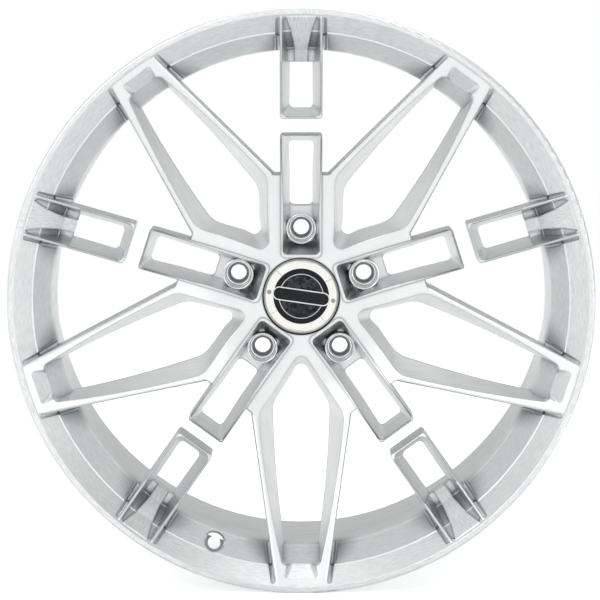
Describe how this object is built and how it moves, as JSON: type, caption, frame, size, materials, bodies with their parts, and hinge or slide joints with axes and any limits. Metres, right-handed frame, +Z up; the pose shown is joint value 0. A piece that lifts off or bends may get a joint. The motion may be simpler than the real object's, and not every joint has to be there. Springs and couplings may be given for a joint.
{
  "type": "wheel",
  "caption": "Forged alloy road wheel with V-shaped and framed spokes, pressed-in lug seats, an empty valve hole and a push-in centre cap that turns and pulls off.",
  "frame": {"origin": "on the axle line, halfway between the two lips", "axes": "+Y along the axle line towards the car, -Y out of the visible face, +Z up, +X to the right seen from the front"},
  "size_m": [0.5176, 0.2674, 0.5174],
  "materials": {
    "forged_aluminium": "brushed",
    "seat_steel": "turned",
    "spring_steel": "drawn",
    "turned_aluminium": "turned",
    "rubber": "matte",
    "black_enamel": "gloss",
    "forged_composite": "gloss, mottled",
    "screw_steel": "plain"
  },
  "bodies": {
    "wheel": {"wheel_forging": "forged_aluminium", "lug_seat_insert_1": "seat_steel", "lug_seat_insert_2": "seat_steel", "lug_seat_insert_3": "seat_steel", "lug_seat_insert_4": "seat_steel", "lug_seat_insert_5": "seat_steel"},
    "retainer": {"snap_ring": "spring_steel"},
    "cap": {"cap_body": "turned_aluminium", "o_ring": "rubber", "cap_face_ring": "turned_aluminium", "emblem_disc": "black_enamel", "emblem_inlay_upper": "forged_composite", "emblem_inlay_lower": "forged_composite", "banner_bar": "turned_aluminium", "banner_inlay": "black_enamel", "cap_screw_left": "screw_steel", "cap_screw_right": "screw_steel"}
  },
  "joints": [
    {"name": "cap_turn", "type": "hinge", "parent": "wheel", "child": "retainer", "pos_m": [0, -0.06, 0], "axis": [0, -1, 0], "continuous": true},
    {"name": "cap_pull", "type": "slide", "parent": "retainer", "child": "cap", "axis": [0, -1, 0], "range_m": [0, 0.03]}
  ]
}
